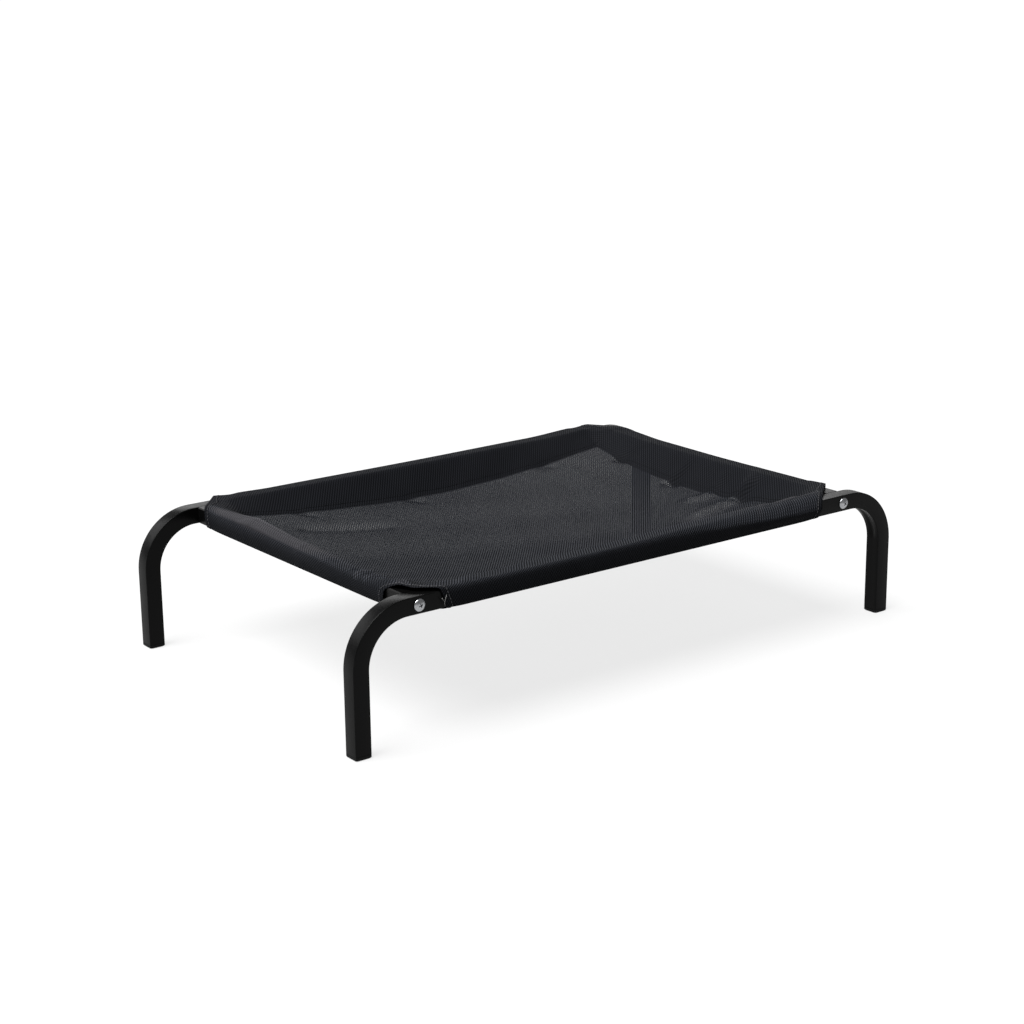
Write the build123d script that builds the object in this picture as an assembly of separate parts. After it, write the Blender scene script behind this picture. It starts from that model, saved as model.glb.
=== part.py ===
"""Raised mesh pet bed: a sewn mat stretched over a screwed frame of bent square tube.

Millimetres, +Z up. The origin is on the floor under the middle of the bed,
+X runs along the long rails and -Y is the front.
"""

import os

from build123d import *

# Frame
frame_length = 800  # over the outer faces of the legs
frame_width = 475  # over the outer faces of the two long rails
rail_height = 166  # floor to the top of the rails
cross_inset = 84.5  # outer face of a leg to the centre of the near cross rail

# Square steel tube
tube_side = 20
tube_wall = 1.2
tube_corner = 1.2  # a flat breaks each long edge by this much
bend_radius = 60  # at the centre line of the tube
crease_width = 11  # groove that the bending die presses into the inner wall of a bend
crease_floor = 4  # width of its flat bottom
crease_depth = 1.6

# Corner screws, with a low domed head and a cross recess
screw_diameter = 6
screw_past_nut = 3  # thread that shows past the nut
head_diameter = 14
head_height = 3.6
head_rim = 0.9  # straight edge below the dome
recess_span = 6.4
recess_slot = 1.7
recess_depth = 2
recess_taper = 8  # degrees
hole_gap = 0.25  # between the screw and the holes it passes through

# Captive nuts and the plugs that hold them in the ends of the cross rails
nut_across_flats = 10
nut_height = 5
nut_gap = 0.1  # round the nut in its pocket
thread_gap = 0.05  # between the screw and the nut
plug_length = 20
plug_floor = 12  # solid length in front of the nut pocket
plug_gap = 0.1  # between the crown of a rib and the tube's bore
plug_groove = 2.5  # width of the grooves between the ribs
plug_groove_depth = 0.7
plug_lead = 1.2  # chamfer at the inner end
plug_groove_count = 2

# Push-in feet
foot_flange = 5  # plastic below the end of the leg
foot_edge = 1.5  # bevel round the edge at the floor
foot_plug_height = 16
foot_plug_wall = 1.8
foot_rib_height = 1.2
foot_rib_reach = 0.6  # ribs stand this far out of the plug
foot_rib_count = 3

# Mesh mat
cloth = 1  # thickness of one layer
cloth_gap = 0.3  # between the cloth and the tube
seam_inset = 48  # outer face of a rail to the edge of the doubled band
seam_band = 8  # width over which the two layers are sewn together
corner_cut = 42  # joint's outer corner to the end of a sleeve
corner_cover = 13  # joint's outer corner to the tip of the cloth that covers it
corner_drop = 13  # top of the rails down to the seam at its corners
side_drop = 34  # the same at the middle of a side
middle_drop = 46  # top of the rails down to the middle of the panel
mat_sections = 7

# Binding on the cut corners
binding = 0.8  # thickness
binding_width = 7

# Places that follow from the sizes above
leg_x = (frame_length - tube_side) / 2
rail_y = (frame_width - tube_side) / 2
rail_z = rail_height - tube_side / 2
cross_x = frame_length / 2 - cross_inset
cross_outer_x = cross_x + tube_side / 2
cross_length = frame_width - 2 * tube_side
bore = tube_side - 2 * tube_wall
screw_reach = tube_side + plug_floor + nut_height + screw_past_nut
wrap = cloth_gap + cloth  # outside of the cloth to the face of the tube
panel_half_x = cross_outer_x - seam_inset
panel_half_y = frame_width / 2 - seam_inset
places = [2 * step / (mat_sections - 1) - 1 for step in range(mat_sections)]  # -1 to 1 along a side

SIDES_X = {"left": -1, "right": 1}
SIDES_Y = {"front": -1, "rear": 1}
FLOOR = (Align.CENTER, Align.CENTER, Align.MIN)


def tube_outline():
    """Square section of the steel tube, with broken edges."""
    return chamfer(Rectangle(tube_side, tube_side).vertices(), tube_corner)


def side_frame():
    """One tube with two bends: a long rail and the legs at its ends, lying in the XZ plane."""
    path = FilletPolyline(
        (-leg_x, 0, foot_flange),
        (-leg_x, 0, rail_z),
        (leg_x, 0, rail_z),
        (leg_x, 0, foot_flange),
        radius=bend_radius,
    )
    start = Plane(origin=(-leg_x, 0, foot_flange), x_dir=(1, 0, 0), z_dir=(0, 0, 1))
    outside = sweep(start * tube_outline(), path)
    inside = sweep(start * Rectangle(bore, bore), path)

    # The pressed groove keeps the wall's thickness, so it also stands into the bore
    rim = bend_radius - tube_side / 2
    die = make_face(
        Polyline(
            (rim - crease_width, -crease_width / 2),
            (rim, -crease_width / 2),
            (rim + crease_depth, -crease_floor / 2),
            (rim + crease_depth, crease_floor / 2),
            (rim, crease_width / 2),
            (rim - crease_width, crease_width / 2),
            close=True,
        )
    )
    die_and_wall = offset(die, tube_wall, kind=Kind.INTERSECTION)
    for side in (-1, 1):
        bend = Pos(side * (leg_x - bend_radius), 0, rail_z - bend_radius) * Rot(90, 0, 0)
        outside -= bend * revolve(Plane.XZ * die, Axis.Z)
        inside -= bend * revolve(Plane.XZ * die_and_wall, Axis.Z)

    tube = outside - inside
    for side in (-1, 1):
        hole = Cylinder(screw_diameter / 2 + hole_gap, 2 * tube_side)
        tube -= Pos(side * cross_x, 0, rail_z) * Rot(90, 0, 0) * hole
    return tube


def cross_rail():
    """Straight tube between the side frames, lying along Y."""
    section = tube_outline() - Rectangle(bore, bore)
    return extrude(Plane.XZ * section, cross_length / 2, both=True)


def hexagon(across_flats):
    return RegularPolygon(across_flats / 2, 6, major_radius=False)


def corner_screw():
    """Head up, with the underside of the head at the origin."""
    radius = head_diameter / 2
    dome_rise = head_height - head_rim
    dome = (radius**2 + dome_rise**2) / (2 * dome_rise)
    head = Cylinder(radius, head_height, align=FLOOR)
    head &= Pos(0, 0, head_height - dome) * Sphere(dome)
    cross = Rectangle(recess_span, recess_slot) + Rectangle(recess_slot, recess_span)
    recess = extrude(Pos(0, 0, head_height) * cross, -recess_depth, taper=recess_taper)
    shank = Cylinder(screw_diameter / 2, screw_reach, align=FLOOR)
    return head - recess + Pos(0, 0, -screw_reach) * shank


def nut():
    """Hexagon nut standing on the origin."""
    blank = extrude(hexagon(nut_across_flats), nut_height)
    return blank - Cylinder(screw_diameter / 2 + thread_gap, nut_height, align=FLOOR)


def nut_plug():
    """Ribbed square plug with its outer end at the origin, its nut pocket at the inner end."""
    side = bore - 2 * plug_gap
    plug = Box(side, side, plug_length, align=FLOOR)
    plug = chamfer(plug.faces().sort_by(Axis.Z)[-1].edges(), plug_lead)
    core = side - 2 * plug_groove_depth
    ring = extrude(Rectangle(side, side) - Rectangle(core, core), plug_groove)
    pitch = plug_length / (plug_groove_count + 1)
    for step in range(plug_groove_count):
        plug -= Pos(0, 0, pitch * (step + 1) - plug_groove / 2) * ring
    pocket = extrude(hexagon(nut_across_flats + 2 * nut_gap), plug_length - plug_floor)
    plug -= Pos(0, 0, plug_floor) * pocket
    return plug - Cylinder(screw_diameter / 2 + hole_gap, plug_length, align=FLOOR)


def foot():
    """Cap flush with the tube, and a hollow ribbed plug that goes up into it."""
    cap = extrude(tube_outline(), foot_flange)
    bevel = min(foot_edge, 1.5 * tube_corner)
    cap = chamfer(cap.faces().sort_by(Axis.Z)[0].edges(), bevel)
    rib_side = bore - 2 * plug_gap
    plug_side = rib_side - 2 * foot_rib_reach
    plug = extrude(Rectangle(plug_side, plug_side), foot_plug_height)
    pitch = foot_plug_height / (foot_rib_count + 1)
    for step in range(foot_rib_count):
        rib = extrude(Rectangle(rib_side, rib_side), foot_rib_height)
        plug += Pos(0, 0, pitch * (step + 1) - foot_rib_height / 2) * rib
    hollow_side = plug_side - 2 * foot_plug_wall
    plug -= extrude(Rectangle(hollow_side, hollow_side), foot_plug_height)
    return cap + Pos(0, 0, foot_flange) * plug


def section_at(along, outline):
    """Face across X at a distance along it, from an outline in Y and Z."""
    return Plane(origin=(along, 0, 0), x_dir=(0, 1, 0), z_dir=(1, 0, 0)) * make_face(outline)


def seam_drop(place):
    """Seam's drop below the top of the rails, at a place from -1 to 1 along a side."""
    return corner_drop + (side_drop - corner_drop) * (1 - place**2)


def sleeve(outer_corner):
    """Doubled cloth round a rail that lies along X, with its outer top edge on the X axis.

    outer_corner is the distance from the middle to the outer faces of the rails at its ends.
    From the rail the two layers slope to a sewn band, which hangs lowest in the middle.
    """
    top = cloth_gap
    bottom = -tube_side - cloth_gap
    inner = tube_side + cloth_gap
    tip = seam_inset - seam_band
    clear = Pos(-cloth_gap, bottom) * Rectangle(inner + cloth_gap, top - bottom, align=Align.MIN)
    clear = fillet(clear.vertices().sort_by(Axis.X)[:2], tube_corner + cloth_gap)
    around = Pos(-wrap, bottom - cloth) * Rectangle(inner + wrap, top - bottom + 2 * cloth, align=Align.MIN)
    around = fillet(around.vertices().sort_by(Axis.X)[:2], tube_corner + wrap)
    wrapping = extrude(Plane.YZ * (around - clear), outer_corner, both=True)

    # Beyond the corners of the seam the slopes run on unchanged to the mitre
    half_seam = outer_corner - seam_inset
    stations = [(place * half_seam, seam_drop(place)) for place in places]
    stations = [(-outer_corner, corner_drop), *stations, (outer_corner, corner_drop)]
    run = seam_inset - inner
    outside = []
    hollow = []
    for along, drop in stations:
        fall = top + drop
        layer = cloth * (run**2 + fall**2) ** 0.5 / run  # one layer, measured upright on its slope
        at_tip = top - fall * (tip - inner) / run
        skin = Polyline(
            (inner, top + cloth),
            (seam_inset, layer - drop),
            (seam_inset, -layer - drop),
            (tip, at_tip - layer),
            (inner, bottom - cloth),
            close=True,
        )
        gap = Polyline((inner, top), (tip, at_tip), (inner, bottom), close=True)
        outside.append(section_at(along, skin))
        hollow.append(section_at(along, gap))
    slopes = loft(outside, ruled=True) - loft(hollow, ruled=True)

    # In plan the ends follow the cut corner, then the mitre to the next sleeve
    end = outer_corner
    plan = make_face(
        Polyline(
            (-(end - corner_cut), -wrap),
            (-(end - corner_cover), corner_cover),
            (-(end - seam_inset), seam_inset),
            (end - seam_inset, seam_inset),
            (end - corner_cover, corner_cover),
            (end - corner_cut, -wrap),
            close=True,
        )
    )
    return (wrapping + slopes) & extrude(plan, side_drop + tube_side, both=True)


def mat_panel():
    """Single layer between the seams, dished towards its middle, with the top of the rails at Z 0."""
    sections = []
    for place in places:
        edge = seam_drop(place)
        middle = side_drop + (middle_drop - side_drop) * (1 - place**2)
        under = ThreePointArc((-panel_half_y, -edge), (0, -middle), (panel_half_y, -edge))
        over = Pos(0, cloth) * under
        outline = [under, Line(under @ 1, over @ 1), over, Line(over @ 0, under @ 0)]
        sections.append(section_at(place * panel_half_x, outline))
    return loft(sections, ruled=True)


def corner_binding():
    """Tape over the cut edge at the front left corner, with the joint's outer corner at the origin.

    It lies flat on top of the two sleeves and turns down over their outer faces.
    """
    skin = wrap + binding
    edge = corner_cut + binding_width
    inner = corner_cover + binding_width
    plan = make_face(
        Polyline(
            (corner_cut, -skin),
            (corner_cover, corner_cover),
            (-skin, corner_cut),
            (-skin, edge),
            (inner, inner),
            (edge, -skin),
            close=True,
        )
    )
    flat = extrude(Pos(0, 0, wrap) * plan, binding)
    drop = Box(binding_width, binding, tube_side + 2 * wrap, align=(Align.MIN, Align.MIN, Align.MIN))
    front = Pos(corner_cut, -skin, -tube_side - wrap) * drop
    return flat + front + mirror(front, Plane(origin=(0, 0, 0), z_dir=(1, -1, 0)))


def group(shapes):
    return Compound(children=list(shapes))


parts = {}

# Steel frame
for end, side_y in SIDES_Y.items():
    parts[f"{end}_side_frame"] = Pos(0, side_y * rail_y, 0) * side_frame()
for end, side_x in SIDES_X.items():
    parts[f"{end}_cross_rail"] = Pos(side_x * cross_x, 0, rail_z) * cross_rail()

# Feet, plugs, nuts and screws at the four corners
nuts = []
screws = []
for end_y, side_y in SIDES_Y.items():
    for end_x, side_x in SIDES_X.items():
        corner = f"{end_y}_{end_x}"
        parts[f"{corner}_foot"] = Pos(side_x * leg_x, side_y * rail_y, 0) * foot()
        inward = Plane(
            origin=(side_x * cross_x, side_y * cross_length / 2, rail_z),
            x_dir=(1, 0, 0),
            z_dir=(0, -side_y, 0),
        )
        parts[f"{corner}_nut_plug"] = inward * nut_plug()
        nuts.append(inward * Pos(0, 0, plug_floor) * nut())
        outward = Plane(
            origin=(side_x * cross_x, side_y * frame_width / 2, rail_z),
            x_dir=(1, 0, 0),
            z_dir=(0, side_y, 0),
        )
        screws.append(outward * corner_screw())
parts["captive_nuts"] = group(nuts)
parts["corner_screws"] = group(screws)

# Mat: the panel, a sleeve on each side and the bound corners
parts["mat_panel"] = Pos(0, 0, rail_height) * mat_panel()
for turn, end in enumerate(("front", "right", "rear", "left")):
    long_side = turn % 2 == 0
    reach = frame_width / 2 if long_side else cross_outer_x
    span = cross_outer_x if long_side else frame_width / 2
    parts[f"{end}_sleeve"] = Rot(0, 0, 90 * turn) * Pos(0, -reach, rail_height) * sleeve(span)
for end_y, side_y in SIDES_Y.items():
    for end_x, side_x in SIDES_X.items():
        tape = corner_binding()
        if side_x > 0:
            tape = mirror(tape, Plane.YZ)
        if side_y > 0:
            tape = mirror(tape, Plane.XZ)
        place = Pos(side_x * cross_outer_x, side_y * frame_width / 2, rail_height)
        parts[f"{end_y}_{end_x}_corner_binding"] = place * tape

os.makedirs("parts", exist_ok=True)
for node, shape in parts.items():
    export_step(shape, f"parts/{node}.step")
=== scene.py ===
from math import cos, pi, radians, sin

import bmesh
import bpy
import numpy as np
from mathutils import Matrix, Vector


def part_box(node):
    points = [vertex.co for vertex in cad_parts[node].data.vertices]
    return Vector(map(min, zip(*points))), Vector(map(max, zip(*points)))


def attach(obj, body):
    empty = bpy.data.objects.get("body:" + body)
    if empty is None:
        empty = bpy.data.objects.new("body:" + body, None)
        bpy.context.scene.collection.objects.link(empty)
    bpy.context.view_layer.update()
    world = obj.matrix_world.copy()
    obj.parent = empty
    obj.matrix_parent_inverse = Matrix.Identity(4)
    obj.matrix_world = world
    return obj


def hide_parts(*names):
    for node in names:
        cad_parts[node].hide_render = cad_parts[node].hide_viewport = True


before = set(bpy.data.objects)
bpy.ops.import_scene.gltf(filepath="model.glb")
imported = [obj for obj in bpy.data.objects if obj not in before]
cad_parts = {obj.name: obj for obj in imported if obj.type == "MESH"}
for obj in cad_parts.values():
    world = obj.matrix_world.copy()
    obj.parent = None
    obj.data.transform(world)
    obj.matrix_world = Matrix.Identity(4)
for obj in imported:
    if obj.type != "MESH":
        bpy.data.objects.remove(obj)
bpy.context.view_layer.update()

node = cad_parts

# Side frames: two lengths of square steel tube, each bent twice into a rail with a leg at both ends.
# The bending die leaves a shallow groove in the inner wall of every bend. The steel is powder coated
# in satin black, which is thinner and a little brighter on the tube's rounded corners.


class Wire:
    """One output of a node in a node tree. Sums and products of wires add Math nodes."""

    def __init__(self, tree, socket=None):
        self.tree = tree
        self.socket = socket

    def node(self, kind, sockets, output=0, stops=(), **settings):
        """Adds a node, sets its settings, then the values or links of its sockets."""
        made = self.tree.nodes.new(kind)
        for name, setting in settings.items():
            setattr(made, name, setting)
        for element, (place, shade) in zip(made.color_ramp.elements if stops else (), stops):
            element.position = place
            element.color = (shade, shade, shade, 1)
        for name, value in sockets.items():
            if isinstance(value, Wire):
                self.tree.links.new(value.socket, made.inputs[name])
            else:
                made.inputs[name].default_value = value
        return Wire(self.tree, made.outputs[output])

    def feed(self, target, name):
        self.tree.links.new(self.socket, target.inputs[name])

    def math(self, operation, *values):
        return self.node("ShaderNodeMath", dict(enumerate(values)), operation=operation)

    def __add__(self, other):
        return self.math("ADD", self, other)

    def __sub__(self, other):
        return self.math("SUBTRACT", self, other)

    def __rsub__(self, other):
        return self.math("SUBTRACT", other, self)

    def __mul__(self, other):
        return self.math("MULTIPLY", self, other)

    def __abs__(self):
        return self.math("ABSOLUTE", self)

    __radd__ = __add__
    __rmul__ = __mul__

    def sine(self):
        return self.math("SINE", self)

    def step(self, low, high, to_low=0.0, to_high=1.0):
        """Smooth change from one value to another as the wire goes from low to high."""
        ends = {"From Min": low, "From Max": high, "To Min": to_low, "To Max": to_high}
        return self.node("ShaderNodeMapRange", {"Value": self, **ends}, interpolation_type="SMOOTHSTEP")

    def noise(self, scale, detail=2.0, roughness=0.5):
        """Noise over this wire's coordinates, from about 0.25 to 0.75."""
        sizes = {"Scale": scale, "Detail": detail, "Roughness": roughness}
        return self.node("ShaderNodeTexNoise", {"Vector": self, **sizes})

    def tint(self, dark, light):
        """A colour between two, by this wire. Each is three numbers or a wire."""
        dark, light = (colour if isinstance(colour, Wire) else (*colour, 1) for colour in (dark, light))
        return self.node("ShaderNodeMix", {"Factor": self, 6: dark, 7: light}, output=2, data_type="RGBA")

    def bump(self, depth, strength=1.0):
        """Normals of a surface that this wire raises by depth metres."""
        return self.node("ShaderNodeBump", {"Height": self, "Distance": depth, "Strength": strength})


def finish(name, **constants):
    """A material, its shader with the constant sockets set, and its Object coordinates."""
    material = bpy.data.materials.new(name)
    material.use_nodes = True
    shader = material.node_tree.nodes["Principled BSDF"]
    for socket, value in constants.items():
        shader.inputs[socket.replace("_", " ")].default_value = value
    place = Wire(material.node_tree).node("ShaderNodeTexCoord", {}, output="Object")
    return material, shader, place


def powder_coat():
    material, shader, place = finish("powder_coat", Specular_IOR_Level=0.07)
    corner = place.node("ShaderNodeAttribute", {}, output="Fac", attribute_name="corner")
    smudge = place.noise(22, 4, 0.6)
    peel = place.noise(700, 3, 0.55)
    speck = place.noise(2400, 1).step(0.64, 0.72)
    worn = corner * place.noise(160, 4).step(0.45, 0.65)
    shade = smudge * 0.5 + worn * 0.4 + speck * 0.25
    shade.tint((0.0008, 0.0008, 0.0008), (0.0046, 0.0046, 0.0048)).feed(shader, "Base Color")
    (smudge.step(0.3, 0.7, 0.27, 0.38) - worn * 0.05).feed(shader, "Roughness")
    (peel + smudge * 0.6).bump(0.00012, 0.7).feed(shader, "Normal")
    return material


def new_piece(name, mesh, material):
    """An object at the origin that holds a mesh, with smooth faces and one material."""
    piece = bpy.data.objects.new(name, mesh)
    bpy.context.scene.collection.objects.link(piece)
    mesh.materials.append(material)
    mesh.shade_smooth()
    return piece


def paint(mesh, name, values):
    """Stores a number at each vertex, for the material to read."""
    layer = mesh.attributes.new(name, "FLOAT", "POINT")
    layer.data.foreach_set("value", np.asarray(values, np.float32))


def s_curve(share):
    """From 0 to 1 as the share does, without corners at its ends."""
    return share * share * (3 - 2 * share)


def grid_faces(index, closed=False):
    """Quads between the neighbouring rows of a table of vertex numbers."""
    after = np.roll(index, -1, axis=1) if closed else index[:, 1:]
    index = index if closed else index[:, :-1]
    quads = np.stack([index[:-1], after[:-1], after[1:], index[1:]], axis=-1)
    return quads.reshape(-1, 4).tolist()


frame_low, frame_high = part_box("front_side_frame")
rail_top = frame_high.z
tube = frame_high.y - frame_low.y
half_width = -frame_low.y
leg_x = frame_high.x - tube / 2
rail_z = rail_top - tube / 2
tube_wall = 0.0012
tube_corner = 0.0011
corner_steps = 5
bend_radius = 0.060
bend_steps = 30
groove_width = 0.011
groove_depth = 0.0016
groove_steps = 10
groove_end = 0.12  # share of the bend over which the groove runs out
tube_sharp = radians(50)  # faces that meet at more than this have a sharp edge


def side_tube_mesh(name, y):
    """Hollow tube of square section along a rail and its two legs."""
    half = tube / 2
    outline = []
    for quarter in range(4):
        turn = quarter * pi / 2
        for step in range(corner_steps + 1):
            angle = turn + step / corner_steps * pi / 2
            on_arc = 0 < step < corner_steps
            centre = Matrix.Rotation(turn, 2) @ Vector((half - tube_corner, half - tube_corner))
            outward = Vector((cos(angle), sin(angle)))
            outline.append((*(centre + tube_corner * outward), *outward, 0, on_arc))
        if quarter == 1:
            for step in range(groove_steps + 1):
                across = groove_width * (0.5 - step / groove_steps)
                press = groove_depth * (0.5 + 0.5 * cos(2 * pi * across / groove_width))
                outline.append((-half, across, -1, 0, press, False))
    out, across, out_way, across_way, press, on_corner = np.array(outline).T

    rings = [(-leg_x, frame_low.z, -1, 0, 0)]
    for side in (-1, 1):
        for step in range(bend_steps + 1):
            share = step / bend_steps if side < 0 else 1 - step / bend_steps
            angle = share * pi / 2
            way = (side * cos(angle), sin(angle))
            pressed = s_curve(np.clip(min(share, 1 - share) / groove_end, 0, 1))
            x = side * (leg_x - bend_radius) + bend_radius * way[0]
            rings.append((x, rail_z - bend_radius + bend_radius * way[1], *way, pressed))
    rings.append((leg_x, frame_low.z, 1, 0, 0))

    skins = []
    for wall in (0, tube_wall):
        for x, z, way_x, way_z, pressed in rings:
            reach = out - wall * out_way + pressed * press
            place = (x + way_x * reach, y + across - wall * across_way, z + way_z * reach)
            skins.append(np.stack(place, -1))
    points = np.array(skins)
    index = np.arange(points.shape[0] * points.shape[1]).reshape(2, len(rings), -1)
    faces = grid_faces(index[0], closed=True)
    faces += [quad[::-1] for quad in grid_faces(index[1], closed=True)]
    faces += grid_faces(np.stack([index[1, 0], index[0, 0]]), closed=True)
    faces += grid_faces(np.stack([index[0, -1], index[1, -1]]), closed=True)
    mesh = bpy.data.meshes.new(name)
    mesh.from_pydata(points.reshape(-1, 3), [], faces)
    paint(mesh, "corner", np.tile(on_corner, 2 * len(rings)))
    return mesh


steel = powder_coat()
for end, y in (("front", -half_width + tube / 2), ("rear", half_width - tube / 2)):
    side_frame = new_piece(f"{end}_bent_tube", side_tube_mesh(f"{end}_bent_tube", y), steel)
    side_frame.data.set_sharp_from_angle(angle=tube_sharp)
    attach(side_frame, "root")
    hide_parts(f"{end}_side_frame")

# Cross rails: two straight lengths of the same tube between the side frames, inside the mat's sleeves.
# Their ends show in the cut corners of the mat, in the same black coat.

for end in ("left", "right"):
    rail = node[f"{end}_cross_rail"]
    rail.data.materials.clear()
    rail.data.materials.append(steel)

# Nut plugs and nuts: a ribbed black plastic plug in each end of a cross rail holds a zinc plated nut.
# They can't be seen once the frame is screwed together.


def black_plastic():
    material, shader, place = finish("black_plastic", Specular_IOR_Level=0.08)
    flow = place.noise(90, 3)
    grain = place.noise(3200, 2)
    flow.tint((0.003, 0.003, 0.0031), (0.007, 0.007, 0.0072)).feed(shader, "Base Color")
    flow.step(0.3, 0.7, 0.5, 0.64).feed(shader, "Roughness")
    grain.bump(0.00005, 0.6).feed(shader, "Normal")
    return material


def zinc_plate():
    material, shader, place = finish("zinc_plate", Metallic=1.0)
    spangle = place.noise(420, 3)
    scratch = place.noise(1900, 2)
    (spangle * 0.7 + scratch * 0.3).tint((0.16, 0.165, 0.17), (0.52, 0.53, 0.55)).feed(shader, "Base Color")
    scratch.step(0.3, 0.7, 0.2, 0.38).feed(shader, "Roughness")
    scratch.bump(0.00003, 0.5).feed(shader, "Normal")
    return material


plastic = black_plastic()
zinc = zinc_plate()
hidden = {"captive_nuts": (zinc, "zinc_plate")}
for corner in ("front_left", "front_right", "rear_left", "rear_right"):
    hidden[f"{corner}_nut_plug"] = (plastic, "black_plastic")
for name, (material, slot) in hidden.items():
    node[name].data.materials.clear()
    node[name].data.materials.append(material)

# Corner screws: one zinc plated screw at each corner goes through the side frame into the nut.
# The head is low and domed, with a rolled rim and a cross recess.

head_radius = 0.007
head_height = 0.0036
head_rim = 0.0009
rim_round = 0.0006
head_segments = 48
dome_steps = 10
dome_share = 0.98  # radius of the dome, which starts just inside the rim
recess_span = 0.0066
recess_slot = 0.0016
recess_depth = 0.0021
recess_draft = 0.62  # size of the recess at its floor
shank_radius = 0.003
shank_length = 0.040
screw_sharp = radians(35)
screw_turns = {"front_left": 20, "front_right": 50, "rear_left": 75, "rear_right": 5}


def settle(piece):
    """Turns what the modifiers make into the piece's own plain mesh."""
    graph = bpy.context.evaluated_depsgraph_get()
    mesh = bpy.data.meshes.new_from_object(piece.evaluated_get(graph), depsgraph=graph)
    piece.modifiers.clear()
    piece.data = mesh


def turned_mesh(name, profile, segments):
    """Closed solid turned about Z from (radius, height) points that start and end on the axis."""
    steps = np.arange(segments) * 2 * pi / segments
    body = np.array(profile[1:-1])
    ring = np.stack([np.cos(steps), np.sin(steps)], -1)
    points = np.concatenate([body[:, None, :1] * ring, np.repeat(body[:, None, 1:], segments, 1)], -1)
    index = np.arange(len(body) * segments).reshape(len(body), segments)
    faces = grid_faces(index, closed=True)
    tips = [len(body) * segments, len(body) * segments + 1]
    for tip, row in ((tips[0], index[0][::-1]), (tips[1], index[-1])):
        faces += [[row[k], row[(k + 1) % segments], tip] for k in range(segments)]
    mesh = bpy.data.meshes.new(name)
    ends = [(0, 0, profile[0][1]), (0, 0, profile[-1][1])]
    mesh.from_pydata([*points.reshape(-1, 3), *ends], [], faces)
    return mesh


def screw_mesh():
    """Screw along Z with the underside of its head at the origin."""
    rise = head_height - head_rim
    dome = (head_radius**2 + rise**2) / (2 * rise)
    profile = [(0, -shank_length), (shank_radius, -shank_length), (shank_radius, 0)]
    profile += [(head_radius - rim_round, 0), (head_radius, rim_round)]
    for step in range(dome_steps):
        radius = head_radius * dome_share * (1 - step / dome_steps)
        profile.append((radius, head_height - dome + (dome**2 - radius**2) ** 0.5))
    profile.append((0, head_height))
    screw = new_piece("screw_blank", turned_mesh("screw_blank", profile, head_segments), zinc)

    cutter = bmesh.new()
    for turn in (0, 90):
        made = bmesh.ops.create_cube(cutter, size=1)["verts"]
        for vertex in made:
            share = recess_draft if vertex.co.z < 0 else 1
            vertex.co.x *= recess_span * share
            vertex.co.y *= recess_slot * share
            vertex.co.z = head_height + (recess_depth if vertex.co.z > 0 else -recess_depth)
        bmesh.ops.rotate(cutter, verts=made, matrix=Matrix.Rotation(radians(turn), 3, "Z"))
    cross_mesh = bpy.data.meshes.new("screw_cross")
    cutter.to_mesh(cross_mesh)
    cross = new_piece("screw_cross", cross_mesh, zinc)
    cut = screw.modifiers.new("recess", "BOOLEAN")
    cut.object = cross
    cut.solver = "EXACT"
    cut.use_self = True
    settle(screw)
    bpy.data.objects.remove(cross)
    return screw


def open_tree(name, **inputs):
    """A geometry node tree with named inputs, and the wires of those inputs."""
    tree = bpy.data.node_groups.new(name, "GeometryNodeTree")
    tree.interface.new_socket("Geometry", in_out="OUTPUT", socket_type="NodeSocketGeometry")
    tree.interface.new_socket("Geometry", in_out="INPUT", socket_type="NodeSocketGeometry")
    for socket, kind in inputs.items():
        tree.interface.new_socket(socket, in_out="INPUT", socket_type=f"NodeSocket{kind}")
    start = tree.nodes.new("NodeGroupInput")
    return tree, {socket.name: Wire(tree, socket) for socket in start.outputs if socket.name}


def close_tree(tree, instances, material):
    """Ends a tree with real geometry in one material."""
    whole = instances.node("GeometryNodeRealizeInstances", {"Geometry": instances})
    whole = whole.node("GeometryNodeSetMaterial", {"Geometry": whole, "Material": material})
    whole.feed(tree.nodes.new("NodeGroupOutput"), "Geometry")


def run_tree(piece, tree, **values):
    """Gives a piece what a tree makes from its mesh."""
    modifier = piece.modifiers.new(tree.name, "NODES")
    modifier.node_group = tree
    for socket in tree.interface.items_tree:
        if socket.in_out == "INPUT" and socket.name in values:
            modifier[socket.identifier] = values[socket.name]
    settle(piece)


def screw_tree():
    tree, given = open_tree("screws_in_corners", Screw="Object", Coat="Material")
    shape = given["Screw"].node("GeometryNodeObjectInfo", {"Object": given["Screw"]}, output="Geometry")
    outward = shape.node("GeometryNodeInputNamedAttribute", {"Name": "outward"}, data_type="FLOAT_VECTOR")
    turn = shape.node("GeometryNodeInputNamedAttribute", {"Name": "turn"}, data_type="FLOAT")
    aim = outward.node("FunctionNodeAlignRotationToVector", {"Vector": outward}, axis="Z")
    spin = turn.node("ShaderNodeCombineXYZ", {"Z": turn})
    spin = spin.node("FunctionNodeEulerToRotation", {"Euler": spin})
    aim = aim.node("FunctionNodeRotateRotation", {0: aim, 1: spin}, rotation_space="LOCAL")
    seats = {"Points": given["Geometry"], "Instance": shape, "Rotation": aim}
    close_tree(tree, shape.node("GeometryNodeInstanceOnPoints", seats), given["Coat"])
    return tree


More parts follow.
